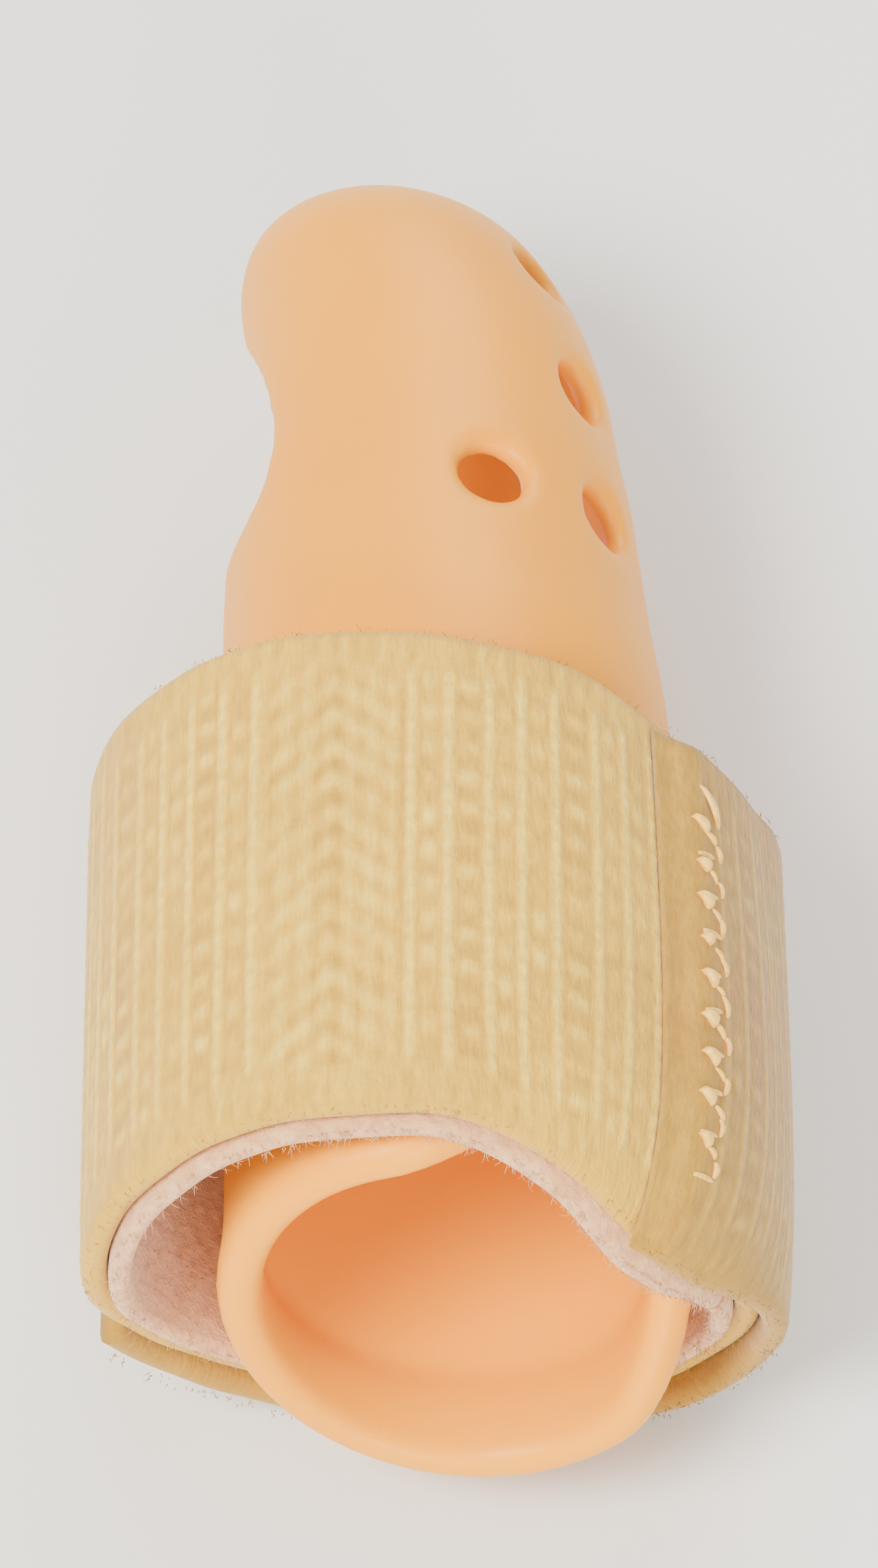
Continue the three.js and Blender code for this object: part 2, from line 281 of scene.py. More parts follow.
def loop_at(turn):
    """Slack, low, high, near and far at turns, in millimetres where they are lengths."""
    rows = np.array(LOOP_ROWS, dtype=float)
    count = len(rows)
    wrapped = np.asarray(turn, float) % 360
    i = np.searchsorted(rows[:, 0], wrapped, side="right") - 1
    starts = np.append(rows[:, 0], 360)
    t = (wrapped - starts[i]) / (starts[i + 1] - starts[i])
    a, b, c, d = (rows[(i + k) % count, 1:] for k in (-1, 0, 1, 2))
    row = between(a, b, c, d, t[..., None])
    return row * np.array([LOOP_SLACK, STRAP_SLIP, STRAP_SLIP, NEAR_DRAW, FAR_DRAW])


def loop_point(turn, y):
    turn, y = np.broadcast_arrays(np.asarray(turn, float), np.asarray(y, float))
    slack, low, high, near, far = np.moveaxis(loop_at(turn), -1, 0)
    across = np.clip((y + low) / (STRAP_WIDTH + low - high), -1, 1)
    drawn = near * (1 - across) ** 7 + far * across**2
    point = outward(turn) * (LOOP_REACH + slack - drawn)[..., None]
    point[..., 1] = y
    point[..., 2] = np.maximum(point[..., 2], -LOOP_REACH)
    return point


def loop_normal(turn, y):
    along = loop_point(np.asarray(turn) + 1, y) - loop_point(np.asarray(turn) - 1, y)
    return unit(np.cross(along, np.array([0.0, 1.0, 0.0])))


# Where the solids put the loop's axis and the strap's open end
ORIGIN = np.array([0.828, -26.285, 14.8])


def to_object(name, points, faces, origin):
    """Mesh object from points in millimetres in the splint's own frame."""
    mesh = bpy.data.meshes.new(name)
    placed = (np.asarray(points) + origin) * MM
    mesh.from_pydata(placed.tolist(), [], faces)
    mesh.validate()
    mesh.update()
    mesh.shade_smooth()
    obj = bpy.data.objects.new(name, mesh)
    bpy.context.scene.collection.objects.link(obj)
    return obj


# Shell


def ring_faces(rows, columns):
    faces = []
    for j in range(rows - 1):
        for i in range(columns):
            k = (i + 1) % columns
            faces.append((j * columns + i, j * columns + k, (j + 1) * columns + k, (j + 1) * columns + i))
    return faces


def closed_faces(rows, columns):
    """Faces round a run of rings, and one across each end."""
    faces = ring_faces(rows, columns)
    faces.append(tuple(range(columns))[::-1])
    faces.append(tuple((rows - 1) * columns + i for i in range(columns)))
    return faces


def shell_solid():
    """The shell without its window and holes: inside from the tip, round the lip and outside to the tip."""
    places = np.arange(SHELL_ROWS) / SHELL_ROWS
    angles = np.arange(SHELL_COLUMNS) * 360 / SHELL_COLUMNS
    p, a = np.meshgrid(places, angles, indexing="ij")
    outside = shell_point(p, a)
    in_lip = np.maximum(0, 1 - section_at(p)[..., 0] / LIP_LENGTH)
    wall = WALL + (LIP_WALL - WALL) * in_lip * (2 - in_lip)
    inside = outside - shell_normal(p, a) * wall[..., None]
    rings = list(inside[::-1])
    middle = (outside[0] + inside[0]) / 2
    reach = (outside[0] - inside[0]) / 2
    for k in range(LIP_STEPS - 1, 0, -1):
        bend = math.pi * k / LIP_STEPS
        rings.append(middle + reach * math.cos(bend) - np.array([0, LIP_WALL / 2 * math.sin(bend), 0]))
    rings += list(outside)
    points = np.concatenate(rings)
    faces = ring_faces(len(rings), SHELL_COLUMNS)
    tip = shell_point(1.0, 0.0)
    points = np.vstack([points, tip - np.array([0, WALL, 0]), tip])
    inner_tip, outer_tip = len(points) - 2, len(points) - 1
    last = (len(rings) - 1) * SHELL_COLUMNS
    for i in range(SHELL_COLUMNS):
        k = (i + 1) % SHELL_COLUMNS
        faces.append((inner_tip, k, i))
        faces.append((outer_tip, last + i, last + k))
    return points, faces


def window_outline():
    """Lengths along the shell and angles of the points round the window."""
    lengths = WINDOW_LENGTH * np.sin(np.linspace(0, 1, WINDOW_STEPS + 1) * math.pi / 2) ** 2
    oval = np.sqrt(np.maximum(0, 1 - (lengths / WINDOW_LENGTH) ** 2))
    in_corner = np.maximum(0, 1 - lengths / WINDOW_CORNER)
    corner = math.degrees(WINDOW_CORNER / RIM_RADIUS)
    half = WINDOW_HALF_ANGLE * oval - corner * (1 - np.sqrt(1 - in_corner**2))
    y = np.concatenate([WINDOW_START + lengths, WINDOW_START + lengths[-2::-1]])
    angle = np.concatenate([180 + half, 180 - half[-2::-1]])
    return y, angle


def window_cutter():
    y, angle = window_outline()

    def point_at(reach, y, angle):
        offset = section_at(np.array([place_of(v) for v in np.atleast_1d(y)]))[:, 3]
        shift = outward(np.float64(PAD_TURN)) * offset[:, None]
        point = outward(PAD_TURN + np.atleast_1d(angle)) * reach + shift
        point[:, 1] = y
        return point

    count = len(y)
    middle = WINDOW_START + WINDOW_LENGTH / 2
    rings = [point_at(RIM_RADIUS * share, y, angle) for share in WINDOW_CUT_REACH]
    ends = [point_at(RIM_RADIUS * share, middle, 180) for share in WINDOW_CUT_REACH]
    points = np.vstack(rings + ends)
    faces = ring_faces(2, count)
    for i in range(count):
        k = (i + 1) % count
        faces.append((2 * count, k, i))
        faces.append((2 * count + 1, count + i, count + k))
    return points, faces


def hole_cutter(length, angle):
    place = place_of(length)
    centre = shell_point(place, float(angle))
    axis = Vector(shell_normal(place, float(angle)))
    turn = Vector((0, 0, 1)).rotation_difference(axis).to_matrix()
    points = []
    for added, height in HOLE_PROFILE:
        radius = HOLE_RADIUS + added
        for i in range(HOLE_SIDES):
            a = 2 * math.pi * i / HOLE_SIDES
            spot = turn @ Vector((radius * math.cos(a), radius * math.sin(a), height))
            points.append(centre + np.array(spot))
    return np.array(points), closed_faces(len(HOLE_PROFILE), HOLE_SIDES)


def hole_spots():
    """Length and angle of each hole."""
    row = [(FIRST_HOLE + k * HOLE_PITCH, 0) for k in range(HOLE_ROWS)]
    return row + [(FIRST_HOLE, -SIDE_HOLE_ANGLE), (FIRST_HOLE, SIDE_HOLE_ANGLE)]


def cut_edges():
    """Points along the outer edges of the window and the holes, and the softness of each."""
    y, angle = window_outline()
    window = shell_point(np.array([place_of(v) for v in y]), angle)
    ring = slice(HOLE_RIM_RING * HOLE_SIDES, (HOLE_RIM_RING + 1) * HOLE_SIDES)
    rims = [hole_cutter(*spot)[0][ring] for spot in hole_spots()]
    points = np.vstack([window] + rims)
    softness = np.full(len(points), HOLE_SOFTNESS)
    softness[: len(window)] = 1
    return points, softness


def soften_cuts(shell, origin):
    """Smooth the shell again near its cut edges, where the remesh leaves small steps."""
    points, softness = cut_edges()
    tree = kdtree.KDTree(len(points))
    for i, point in enumerate((points + origin) * MM):
        tree.insert(point, i)
    tree.balance()
    group = shell.vertex_groups.new(name="cut_edges")
    for vertex in shell.data.vertices:
        index, distance = tree.find(vertex.co)[1:]
        nearness = 1 - distance / (SOFT_REACH * MM)
        if nearness > 0:
            group.add([vertex.index], softness[index] * min(1, 2 * nearness), "REPLACE")
    smooth = shell.modifiers.new("soften", "SMOOTH")
    smooth.factor = SMOOTH_FACTOR
    smooth.iterations = SOFT_TIMES
    smooth.vertex_group = group.name
    apply_modifiers(shell)
    shell.vertex_groups.clear()


def make_shell():
    origin = ORIGIN - np.array([0, SHELL_PAST_STRAP, 0])
    shell = to_object("shell", *shell_solid(), origin)
    cutters = [to_object("cutter", *window_cutter(), origin)]
    cutters += [to_object("cutter", *hole_cutter(length, angle), origin) for length, angle in hole_spots()]
    for cutter in cutters:
        cut = shell.modifiers.new("cut", "BOOLEAN")
        cut.operation = "DIFFERENCE"
        cut.solver = "EXACT"
        cut.object = cutter
    remesh = shell.modifiers.new("remesh", "REMESH")
    remesh.mode = "VOXEL"
    remesh.voxel_size = SHELL_VOXEL * MM
    smooth = shell.modifiers.new("smooth", "SMOOTH")
    smooth.factor = SMOOTH_FACTOR
    smooth.iterations = SHELL_SMOOTH_TIMES
    apply_modifiers(shell)
    for cutter in cutters:
        bpy.data.objects.remove(cutter)
    soften_cuts(shell, origin)
    thin = shell.modifiers.new("thin", "DECIMATE")
    thin.ratio = SHELL_TRIANGLES / (2 * len(shell.data.polygons))
    apply_modifiers(shell)
    shell.data.shade_smooth()
    return shell


def apply_modifiers(obj):
    seen = obj.evaluated_get(bpy.context.evaluated_depsgraph_get())
    mesh = bpy.data.meshes.new_from_object(seen)
    obj.modifiers.clear()
    obj.data = mesh


# Tapes


def smooth_step(low, high, x):
    t = np.clip((x - low) / (high - low), 0, 1)
    return t * t * (3 - 2 * t)


def ridge(x):
    """A ridge along the middle of a column, x from 0 to 1 across it."""
    return np.sin(np.pi * np.clip(x, 0, 1)) ** 1.5


def hashed(i, j):
    """Even pseudo-random numbers from 0 to 1 for whole numbers i and j."""
    value = np.sin(i * 127.1 + j * 311.7 + SEED) * 43758.5453
    return value - np.floor(value)


def value_noise(x, y):
    """Smooth noise from 0 to 1 on whole-number cells."""
    i, j = np.floor(x), np.floor(y)
    u, w = x - i, y - j
    u, w = u * u * (3 - 2 * u), w * w * (3 - 2 * w)
    near = hashed(i, j) * (1 - u) + hashed(i + 1, j) * u
    far = hashed(i, j + 1) * (1 - u) + hashed(i + 1, j + 1) * u
    return near * (1 - w) + far * w


def swing(x):
    """From 0 to 1 and back for each whole number, highest at whole numbers."""
    return 0.5 + 0.5 * np.cos(2 * np.pi * x)


def rib_height(x, v):
    return 0.35 + 0.6 * ridge(x) * (0.8 + 0.2 * np.cos(2 * np.pi * v / RIB_PITCH))


def ladder_height(x, v, index):
    step = v / RUNG_PITCH + RUNG_SHIFT * index
    strength = 0.3 + 0.7 * hashed(np.floor(step + 0.5), index)
    return 0.3 + 0.6 * swing(step) ** 2 * strength * np.sin(np.pi * x) ** 0.7


def dash_height(x, v, index):
    step = v / DASH_PITCH + DASH_SHIFT * index
    strength = 0.1 + 0.9 * hashed(np.floor(step + 0.5), index)
    return 0.35 + 0.5 * swing(step) * strength * np.sin(np.pi * x)


def chevron_height(x, v, width, index):
    side = np.abs(2 * x - 1)
    chevron = swing(v / CHEVRON_PITCH + 0.5 * side * width / 2)
    strength = 0.35 + 0.65 * value_noise(x * 4 + 9 * index, v / 1.3)
    dimple = np.exp(-((side / CHEVRON_DIMPLE) ** 2)) * (1 - swing(v / CHEVRON_PITCH))
    fine = 0.1 * np.cos(2 * np.pi * x * width / FINE_PITCH)
    return 0.4 + fine + 0.38 * chevron * strength * smooth_step(1, 0.8, side) - 0.2 * dimple


def column_height(kind, x, v, width, index):
    """Height from 0 to 1 in one weave column, x from 0 to 1 across it and v along the finger."""
    if kind == "rib":
        return rib_height(x, v)
    if kind == "ladder":
        return ladder_height(x, v, index)
    if kind == "dash":
        return dash_height(x, v, index)
    return chevron_height(x, v, width, index)


def plain_height(s, v):
    """Height of the plain weave along a tape's edges and next to its sewn end."""
    yarn = value_noise(s / SELVEDGE_CELL[0], v / SELVEDGE_CELL[1]) - 0.5
    return 0.45 + 0.07 * np.cos(2 * np.pi * s / SELVEDGE_PITCH) + 0.2 * yarn


def weave_height(s, v, width, from_end):
    """Height from 0 to 1 of the weave, s round the tape and v across it."""
    around = s - WEAVE_START
    period = sum(column for kind, column in WEAVE_COLUMNS)
    u = around - np.floor(around / period) * period
    height = np.zeros_like(u)
    start = 0
    for index, (kind, column) in enumerate(WEAVE_COLUMNS):
        here = (u >= start) & (u < start + column)
        x = (u - start) / column
        height = np.where(here, column_height(kind, x, v, column, index), height)
        start += column
    worn = 0.75 + 0.5 * value_noise(s / WORN_CELL[0], v / WORN_CELL[1])
    yarn = value_noise(s / YARN_CELL[0], v / YARN_CELL[1]) - 0.5
    height = 0.5 + (height - 0.5) * worn + 0.16 * yarn
    inward = np.minimum(np.minimum(v, width - v), from_end)
    edge = smooth_step(SELVEDGE * 0.7, SELVEDGE * 1.3, inward)
    return height * edge + plain_height(s, v) * (1 - edge)


def tape_profile(width, thickness, outer, inner):
    """Cross-section of a tape: places across the width and off its middle, and 1 on the outer face."""
    half = thickness / 2
    lines = []
    for k in range(outer + 1):
        lines.append((half + (width - 2 * half) * k / outer, half, 1))
    for k in range(1, TAPE_EDGE_STEPS):
        bend = math.pi / 2 - math.pi * k / TAPE_EDGE_STEPS
        lines.append((width - half + half * math.cos(bend), half * math.sin(bend), 0))
    for k in range(inner + 1):
        lines.append((width - half - (width - 2 * half) * k / inner, -half, 0))
    for k in range(1, TAPE_EDGE_STEPS):
        bend = -math.pi / 2 - math.pi * k / TAPE_EDGE_STEPS
        lines.append((half + half * math.cos(bend), half * math.sin(bend), 0))
    return np.array(lines)


def middle_lengths(turns):
    """Lengths along the tape's middle at the turns, from turn 360 where the tape passes it."""
    middle = loop_point(turns, STRAP_WIDTH / 2)
    s = np.concatenate([[0], np.cumsum(np.linalg.norm(np.diff(middle, axis=0), axis=1))])
    return s - np.interp(360 if turns[-1] > 360 else 0, turns, s)


def flat_length(turns, stand_off):
    normals = loop_normal(turns, STRAP_WIDTH / 2)
    centre = loop_point(turns, STRAP_WIDTH / 2) + normals * stand_off
    return float(np.linalg.norm(np.diff(centre, axis=0), axis=1).sum())


def edge_wave(s):
    return np.array([noise.noise(Vector((x * WAVE_RATE, 3.1, SEED))) for x in s])


def edge_share(v, width):
    return smooth_step(WAVE_REACH, 0, np.minimum(v, width - v))


def tape_mesh(
    name, start, end, stand_off, thickness, edge=0.0, rise=0.0, steps=WOVEN_STEPS, relief=RELIEF, pressed=0.0
):
    """Tape round the loop between two turns. With a pressed length it starts flat and plain."""
    turns = np.linspace(start, end, int(math.radians(end - start) * TAPE_RADIUS / steps[0]) + 1)
    low, high = loop_at(turns)[:, 1:3].T
    width = (STRAP_WIDTH + low - high)[:, None]
    count = int(STRAP_WIDTH / steps[1])
    profile = tape_profile(STRAP_WIDTH, thickness, count, count // 3)
    on_face = profile[:, 2][None, :]
    v = profile[:, 0][None, :] * (width / STRAP_WIDTH)
    first = edge - low + rise * ((turns - start) / (end - start)) ** 3
    y = first[:, None] + v
    s = middle_lengths(turns)
    along = s[:, None] + 0 * v
    grid = turns[:, None] + 0 * v
    from_end = (s - s[0])[:, None] if pressed else STRAP_WIDTH
    height = weave_height(along, v, width, from_end)
    kept = 1 - (1 - PRESSED_SHARE) * smooth_step(pressed, 0, from_end) if pressed else 1
    off = thickness / 2 + profile[:, 1][None, :] + relief * (height - RELIEF_ZERO) * on_face
    points = loop_point(grid, y) + loop_normal(grid, y) * (stand_off + off * kept)[..., None]
    points[..., 1] += WAVE_HEIGHT * edge_wave(s)[:, None] * edge_share(v, width)
    obj = to_object(name, points.reshape(-1, 3), closed_faces(*points.shape[:2]), ORIGIN)
    # The relief attribute sets the weave's colour: painted highlight on high places, and painted shade on
    # low places and on the smooth faces.
    add_numbers(obj, "relief", np.where(on_face > 0, height, PLAIN_RELIEF).ravel())
    add_numbers(obj, "round_mm", along.ravel())
    add_numbers(obj, "across_mm", v.ravel())
    obj["flat_length"] = flat_length(turns, stand_off + thickness / 2)
    return obj


def add_numbers(obj, name, values):
    layer = obj.data.attributes.new(name, "FLOAT", "POINT")
    layer.data.foreach_set("value", np.asarray(values, dtype=np.float32))


def joined(name, parts, body):
    """One mesh object from parts that have the same faces."""
    faces = []
    for n, part in enumerate(parts):
        faces += [tuple(n * len(part) + i for i in face) for face in body]
    return to_object(name, np.concatenate(parts), faces, ORIGIN)


# Stitches

STITCH_TURN = 53
STITCH_PITCH = 2.05
STITCH_START = -1.9
STITCH_END = 17.5
THREAD_RADIUS = 0.22

SIDE_JITTER = 0.15
WAY_JITTER = 0.14
THREAD_STEPS = 9
THREAD_SIDES = 8
THREAD_SUNK = 0.15
THREAD_FLATNESS = 1.15

# Runs of thread in one pitch of the seam: side, way down, next side, next way down, bulge, share of radius
STITCH_PARTS = [
    (-0.95, 0, -0.25, 0.55, 0.13, 1.1),
    (-0.3, 0.5, 0.55, 0.95, 0.04, 0.55),
    (0.45, 0.8, 0.6, 1.75, 0.1, 0.6),
    (0.5, 1.7, -0.9, 1.98, -0.03, 0.5),
]
# The seam's first run, in the same columns
FIRST_STITCH = (-0.55, -1.9, 0.7, -0.1, 0.16, 0.8)


def stitch_parts(rng):
    """Runs of thread on the tab's outside: start, end, bulge and radius. Places are turn and way along."""
    centre_radius = LOOP_REACH + LINING + TAPE + TAB + 2 * CLEARANCE
    count = int((STITCH_END - STITCH_START) / STITCH_PITCH)
    rows = [(0, FIRST_STITCH)] + [(k, part) for k in range(count) for part in STITCH_PARTS]
    parts = []
    for k, (side, down, next_side, next_down, bulge, share) in rows:
        top = STITCH_END - k * STITCH_PITCH
        sides = np.array([side, next_side]) + rng.uniform(-SIDE_JITTER, SIDE_JITTER, 2)
        turns = STITCH_TURN + np.degrees(sides / centre_radius)
        ways = top - np.array([down, next_down]) + rng.uniform(-WAY_JITTER, WAY_JITTER, 2)
        radius = THREAD_RADIUS * share * rng.uniform(0.8, 1.15)
        parts.append(((turns[0], ways[0]), (turns[1], ways[1]), bulge * rng.uniform(0.6, 1.2), radius))
    return parts


def thread(start, end, bulge, thickness):
    """Rings of a bulging thread between two places on the tab's outside."""
    rings = []
    stand_off = LINING + TAPE + TAB + 2 * CLEARANCE
    for k in range(THREAD_STEPS + 1):
        t = k / THREAD_STEPS
        turn = start[0] + (end[0] - start[0]) * t
        y = start[1] + (end[1] - start[1]) * t
        rise = -THREAD_SUNK + (bulge + THREAD_SUNK) * math.sin(math.pi * t) ** 0.6
        normal = loop_normal(turn, y)
        centre = loop_point(turn, y) + normal * (stand_off + rise)
        later = loop_point(turn + (end[0] - start[0]) * 0.01, y + (end[1] - start[1]) * 0.01)
        side = unit(np.cross(unit(later - loop_point(turn, y)), normal))
        radius = thickness * (0.7 + 0.3 * math.sin(math.pi * t))
        for i in range(THREAD_SIDES):
            a = 2 * math.pi * i / THREAD_SIDES
            across = side * radius * THREAD_FLATNESS * math.cos(a)
            rings.append(centre + across + normal * radius * math.sin(a))
    return np.array(rings)


def make_stitches():
    rng = np.random.default_rng(SEED)
    runs = [thread(*part) for part in stitch_parts(rng)]
    return joined("seam_stitches", runs, closed_faces(THREAD_STEPS + 1, THREAD_SIDES))


# Fuzz

FIBRE_RADIUS = 0.028
FIBRE_STEPS = 4
FIBRE_SIDES = 3
FIBRE_TAPER = 0.6
FIBRE_CURL = 0.7
# How far a fibre starts inside the edge, and the least height over the floor that it keeps
FIBRE_ROOT = 0.1
FLOOR_CLEARANCE = 0.1


def fibre(root, way, length, curl, rng):
    """Rings of points along one bent fibre that starts inside the cloth."""
    rings = []
    across = unit(np.cross(way, rng.normal(size=3)))
    other = np.cross(way, across)
    for k in range(FIBRE_STEPS + 1):
        t = k / FIBRE_STEPS
        centre = root + way * length * t + across * curl * length * t * t
        radius = FIBRE_RADIUS * (1 - FIBRE_TAPER * t)
        for i in range(FIBRE_SIDES):
            a = 2 * math.pi * i / FIBRE_SIDES
            rings.append(centre + (across * math.cos(a) + other * math.sin(a)) * radius)
    return np.array(rings)


def make_fuzz(name, turns, stand_off, thickness, edge, count, length, far_share, seed):
    """Loose fibres along a tape's open-end edge, and a share of them along its far edge."""
    rng = np.random.default_rng(seed)
    strands = []
    for _ in range(count):
        turn = rng.uniform(*turns)
        low, high = loop_at(turn)[1:3]
        far = rng.uniform() < far_share
        y = STRAP_WIDTH - high + edge - FIBRE_ROOT if far else edge - low + FIBRE_ROOT
        normal = loop_normal(turn, y)
        root = loop_point(turn, y) + normal * (stand_off + thickness * rng.uniform(0.1, 0.9))
        way = np.array([0, 1.0 if far else -1.0, 0]) + normal * rng.normal(0, 0.5) + rng.normal(0, 0.45, 3)
        strand = fibre(root, unit(way), length * rng.uniform(0.4, 1.2), rng.normal(0, FIBRE_CURL), rng)
        strand[:, 2] = np.maximum(strand[:, 2], FLOOR_CLEARANCE - ORIGIN[2])
        strands.append(strand)
    return joined(name, strands, closed_faces(FIBRE_STEPS + 1, FIBRE_SIDES))


# Materials


def linear(red, green, blue):
    def one(c):
        c /= 255
        return c / 12.92 if c <= 0.04045 else ((c + 0.055) / 1.055) ** 2.4

    return (one(red), one(green), one(blue), 1)


def new_material(name, roughness, **sockets):
    material = bpy.data.materials.new(name)
    material.use_nodes = True
    shader = material.node_tree.nodes["Principled BSDF"]
    shader.inputs["Roughness"].default_value = roughness
    for socket, value in sockets.items():
        shader.inputs[socket.replace("_", " ")].default_value = value
    return material, material.node_tree, shader


def noise_node(tree, scale, detail, roughness=0.55, vector=None):
    node = tree.nodes.new("ShaderNodeTexNoise")
    node.inputs["Scale"].default_value = scale
    node.inputs["Detail"].default_value = detail
    node.inputs["Roughness"].default_value = roughness
    if vector is None:
        vector = tree.nodes.new("ShaderNodeTexCoord").outputs["Object"]
    tree.links.new(vector, node.inputs["Vector"])
    return node.outputs["Fac"]


def ramp_node(tree, value, stops):
    node = tree.nodes.new("ShaderNodeValToRGB")
    tree.links.new(value, node.inputs["Fac"])
    ramp = node.color_ramp
    while len(ramp.elements) < len(stops):
        ramp.elements.new(0.5)
    for element, (place, colour) in zip(ramp.elements, stops):
        element.position = place
        element.color = colour
    return node.outputs["Color"]


def multiplied(tree, share, a, b):
    """Colour a darkened by a share of colour b."""
    node = tree.nodes.new("ShaderNodeMix")
    node.data_type = "RGBA"
    node.blend_type = "MULTIPLY"
    node.inputs["Factor"].default_value = share
    for socket, value in (("A", a), ("B", b)):
        target = next(i for i in node.inputs if i.name == socket and i.type == "RGBA")
        tree.links.new(value, target)
    return next(o for o in node.outputs if o.type == "RGBA")


def bump(tree, shader, height, distance, strength):
    node = tree.nodes.new("ShaderNodeBump")
    node.inputs["Strength"].default_value = strength
    node.inputs["Distance"].default_value = distance
    tree.links.new(height, node.inputs["Height"])
    tree.links.new(node.outputs["Normal"], shader.inputs["Normal"])


def attribute(tree, name):
    node = tree.nodes.new("ShaderNodeAttribute")
    node.attribute_name = name
    return node.outputs["Fac"]


def plastic_material():
    material, tree, shader = new_material(
        "moulded_plastic", 0.42, Subsurface_Weight=0.05, Subsurface_Scale=0.0012, Specular_IOR_Level=0.28
    )
    shader.inputs["Subsurface Radius"].default_value = (1.0, 0.55, 0.25)
    tone = noise_node(tree, 55, 2)
    colour = ramp_node(tree, tone, [(0.3, linear(247, 159, 0)), (0.7, linear(254, 167, 4))])
    tree.links.new(colour, shader.inputs["Base Color"])
    bump(tree, shader, noise_node(tree, 900, 3), 0.00004, 0.35)
    return material


# Cells of the yarn's noise in a millimetre, round the tape and across it
YARN_STRETCH = (6.0, 1.1, 1.0)


def fabric_material(name, dark, middle, light, blush):
    """Woven tape: painted highlight makes it pale on the ridges and painted shade makes it darker between
    them, with yarn across it and uneven wear.
    """
    material, tree, shader = new_material(
        name, 0.85, Sheen_Weight=0.25, Sheen_Roughness=0.5, Specular_IOR_Level=0.2
    )
    place = tree.nodes.new("ShaderNodeCombineXYZ")
    tree.links.new(attribute(tree, "round_mm"), place.inputs["X"])
    tree.links.new(attribute(tree, "across_mm"), place.inputs["Y"])
    stretched = tree.nodes.new("ShaderNodeVectorMath")
    stretched.operation = "MULTIPLY"
    stretched.inputs[1].default_value = YARN_STRETCH
    tree.links.new(place.outputs["Vector"], stretched.inputs[0])
    yarn = noise_node(tree, 1.0, 3, 0.6, stretched.outputs["Vector"])
    # Painted light: the weave's height gives its ridges a painted highlight and its low places a painted
    # shade.
    relief = ramp_node(tree, attribute(tree, "relief"), [(0.1, dark), (0.5, middle), (0.95, light)])
    streaks = ramp_node(tree, yarn, [(0.3, (0.72, 0.72, 0.72, 1)), (0.7, (1.0, 1.0, 1.0, 1))])
    colour = multiplied(tree, 0.8, relief, streaks)
    patches = ramp_node(tree, noise_node(tree, 160, 2), [(0.35, (0.93, 0.92, 0.9, 1)), (0.65, (1, 1, 1, 1))])
    colour = multiplied(tree, 1.0, colour, patches)
    flushed = ramp_node(tree, noise_node(tree, 110, 2), [(0.45, (1, 1, 1, 1)), (0.7, blush)])
    colour = multiplied(tree, 1.0, colour, flushed)
    tree.links.new(colour, shader.inputs["Base Color"])
    fine = noise_node(tree, 2600, 3)
    both = tree.nodes.new("ShaderNodeMath")
    both.operation = "ADD"
    tree.links.new(yarn, both.inputs[0])
    tree.links.new(fine, both.inputs[1])
    bump(tree, shader, both.outputs["Value"], 0.00012, 0.7)
    return material


def plush_material(name, dark, light):
    material, tree, shader = new_material(
        name, 0.95, Sheen_Weight=0.4, Sheen_Roughness=0.6, Specular_IOR_Level=0.15
    )
    tufts = noise_node(tree, 1500, 4, 0.65)
    tree.links.new(ramp_node(tree, tufts, [(0.3, dark), (0.7, light)]), shader.inputs["Base Color"])
    bump(tree, shader, tufts, 0.0003, 0.8)
    return material


def thread_material():
    material, tree, shader = new_material("thread", 0.38, Sheen_Weight=0.2, Specular_IOR_Level=0.6)
    fibres = noise_node(tree, 3000, 2)
    colour = ramp_node(tree, fibres, [(0.3, linear(240, 176, 58)), (0.7, linear(254, 208, 92))])
    tree.links.new(colour, shader.inputs["Base Color"])
    bump(tree, shader, fibres, 0.00005, 0.5)
    return material


def floor_material():
    material, tree, shader = new_material("pale_floor", 0.7)
    tone = noise_node(tree, 3, 2)
    colour = ramp_node(tree, tone, [(0.3, (0.84, 0.84, 0.835, 1)), (0.7, (0.87, 0.87, 0.865, 1))])
    tree.links.new(colour, shader.inputs["Base Color"])
    return material


def dress(obj, material, slot, *nodes):
    obj.data.materials.clear()
    obj.data.materials.append(material)
    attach(obj, "root")
    if nodes:
        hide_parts(*nodes)


# Pieces

shell = make_shell()
dress(shell, plastic_material(), "splint_shell", "splint_shell")

GAP_TURN = math.degrees(CLEARANCE / LOOP_REACH)
LINING_TURNS = (LINING_SEAM_TURN + GAP_TURN, LINING_SEAM_TURN + 360)
BAND_TURNS = (BAND_SEAM_TURN + GAP_TURN, BAND_SEAM_TURN + 360)
TAB_TURNS = (TAB_START_TURN, TAB_END_TURN)
BAND_STAND_OFF = LINING + CLEARANCE
TAB_STAND_OFF = BAND_STAND_OFF + TAPE + CLEARANCE

lining = tape_mesh(
    "lining_tape", *LINING_TURNS, 0, LINING, edge=-LINING_SHOWS, steps=LINING_STEPS, relief=LINING_RELIEF
)
lining_material = plush_material("brushed_lining", linear(202, 146, 100), linear(234, 184, 134))
dress(lining, lining_material, "strap_lining", "strap_lining")

lining_fuzz = make_fuzz("lining_fuzz", LINING_TURNS, 0, LINING, -LINING_SHOWS, 1300, 0.42, 0.25, SEED)
dress(lining_fuzz, lining_material, "strap_lining")

band = tape_mesh("woven_band", *BAND_TURNS, BAND_STAND_OFF - FILL, TAPE + FILL)
band_material = fabric_material(
    "woven_tape", linear(198, 149, 38), linear(237, 188, 58), linear(255, 222, 98), (1, 0.97, 0.9, 1)
)
dress(band, band_material, "strap_band", "strap_band")

tab = tape_mesh(
    "sewn_tab",
    *TAB_TURNS,
    TAB_STAND_OFF - FILL,
    TAB + FILL,
    edge=TAB_EDGE,
    rise=TAB_END_RISE,
    relief=TAB_RELIEF,
    pressed=PRESSED_LENGTH,
)
tab_material = fabric_material(
    "woven_tab", linear(166, 122, 32), linear(196, 150, 50), linear(224, 180, 74), (1, 0.9, 0.98, 1)
)
dress(tab, tab_material, "hook_tab", "hook_tab")

stitches = make_stitches()
dress(stitches, thread_material(), "hook_tab")

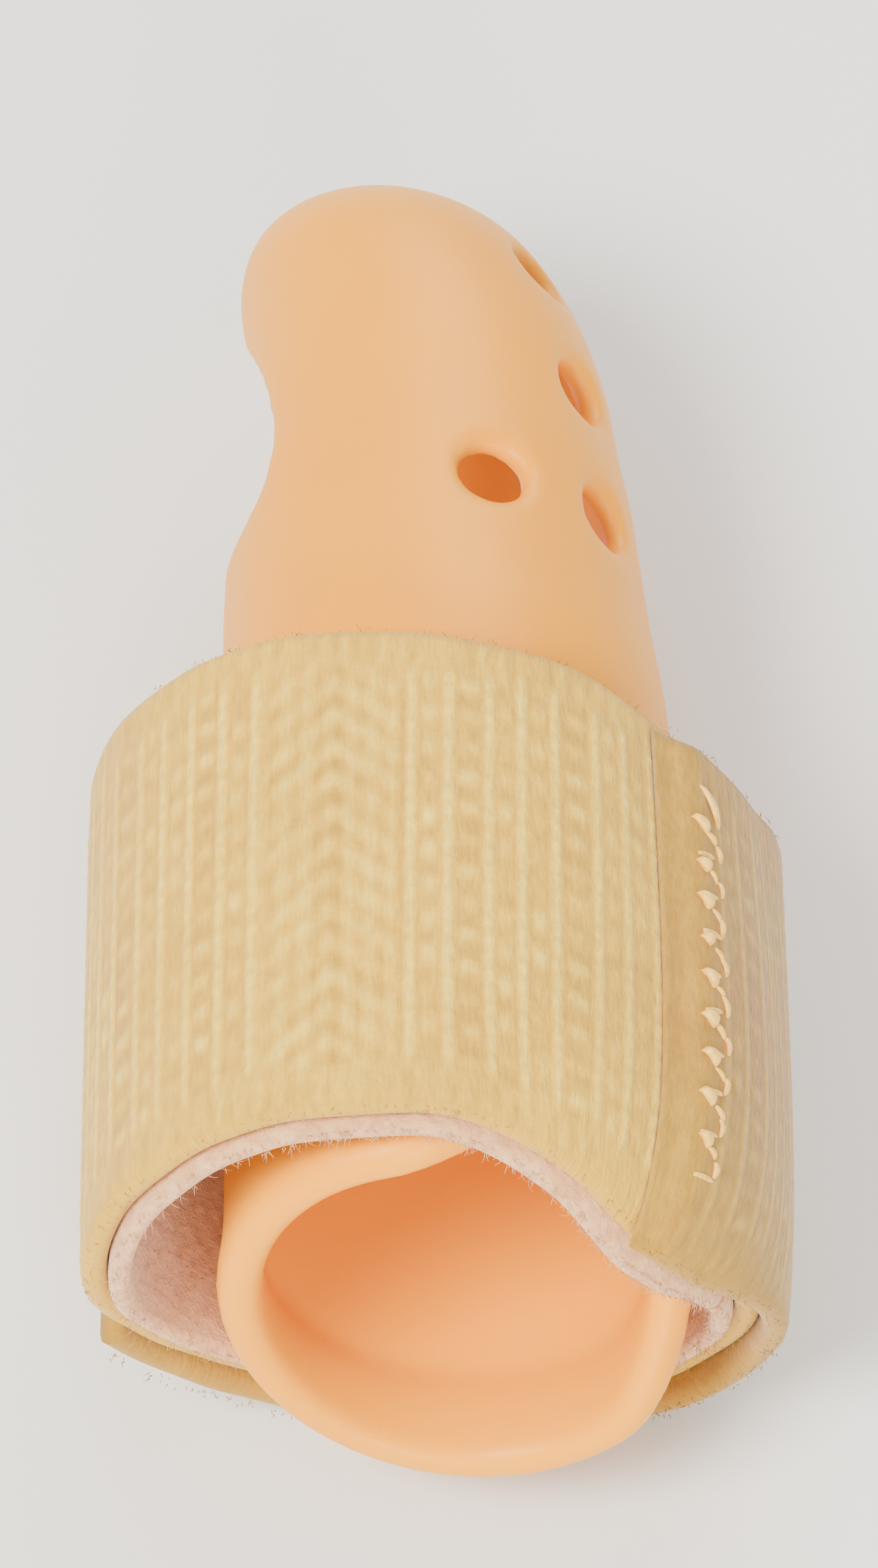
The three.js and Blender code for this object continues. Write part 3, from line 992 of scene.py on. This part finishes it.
band_fuzz = make_fuzz("band_fuzz", BAND_TURNS, BAND_STAND_OFF, TAPE, 0, 800, 0.26, 0.5, SEED + 1)
dress(band_fuzz, band_material, "strap_band")

tab_fuzz = make_fuzz("tab_fuzz", TAB_TURNS, TAB_STAND_OFF, TAB, TAB_EDGE, 500, 0.26, 0.5, SEED + 2)
dress(tab_fuzz, tab_material, "hook_tab")

layers = [
    (lining, ["shell"], [lining_fuzz]),
    (band, ["lining_tape"], [band_fuzz]),
    (tab, ["woven_band"], [stitches, tab_fuzz]),
]
for obj, names, pieces in layers:
    del obj["flat_length"]

# Floor, light and camera

TARGET = Vector((0.0, -0.0005, 0.0135))
ELEVATION = 58
DISTANCE = 0.44
FRAME_HEIGHT_RAD = 0.165
SENSOR = 36
FLOOR_HALF = 3.0
WORLD_COLOUR = (1.0, 0.985, 0.935, 1)
WORLD_STRENGTH = 0.8

# name, place, size, power, colour
LIGHTS = [
    ("key", (-0.3, -0.25, 0.55), 0.3, 7.8, (1, 0.95, 0.84)),
    ("fill", (0.1, -0.58, 0.26), 0.4, 4.0, (1, 0.96, 0.88)),
    ("rim", (0.1, 0.5, 0.35), 0.4, 3.0, (1, 1, 1)),
]


def make_floor():
    half = FLOOR_HALF
    mesh = bpy.data.meshes.new("floor")
    corners = [(-half, -half, 0), (half, -half, 0), (half, half, 0), (-half, half, 0)]
    mesh.from_pydata(corners, [], [(0, 1, 2, 3)])
    floor = bpy.data.objects.new("floor", mesh)
    bpy.context.scene.collection.objects.link(floor)
    floor.data.materials.append(floor_material())


def make_light(name, place, size, power, colour):
    light = bpy.data.lights.new(name, "AREA")
    light.shape = "DISK"
    light.size = size
    light.energy = power
    light.color = colour
    obj = bpy.data.objects.new(name, light)
    obj.location = place
    obj.rotation_euler = (TARGET - Vector(place)).to_track_quat("-Z", "Y").to_euler()
    bpy.context.scene.collection.objects.link(obj)


def make_camera():
    data = bpy.data.cameras.new("camera")
    data.sensor_fit = "VERTICAL"
    data.sensor_height = SENSOR
    data.lens = SENSOR / (2 * math.tan(FRAME_HEIGHT_RAD / 2))
    data.clip_start = 0.01
    camera = bpy.data.objects.new("camera", data)
    rise = math.radians(ELEVATION)
    camera.location = TARGET + Vector((0, -math.cos(rise), math.sin(rise))) * DISTANCE
    camera.rotation_euler = (TARGET - camera.location).to_track_quat("-Z", "Y").to_euler()
    bpy.context.scene.collection.objects.link(camera)
    bpy.context.scene.camera = camera


def make_world():
    world = bpy.data.worlds.new("studio")
    bpy.context.scene.world = world
    world.use_nodes = True
    background = world.node_tree.nodes["Background"]
    background.inputs["Color"].default_value = WORLD_COLOUR
    background.inputs["Strength"].default_value = WORLD_STRENGTH


make_floor()
make_world()
for light in LIGHTS:
    make_light(*light)
make_camera()

bpy.context.view_layer.update()
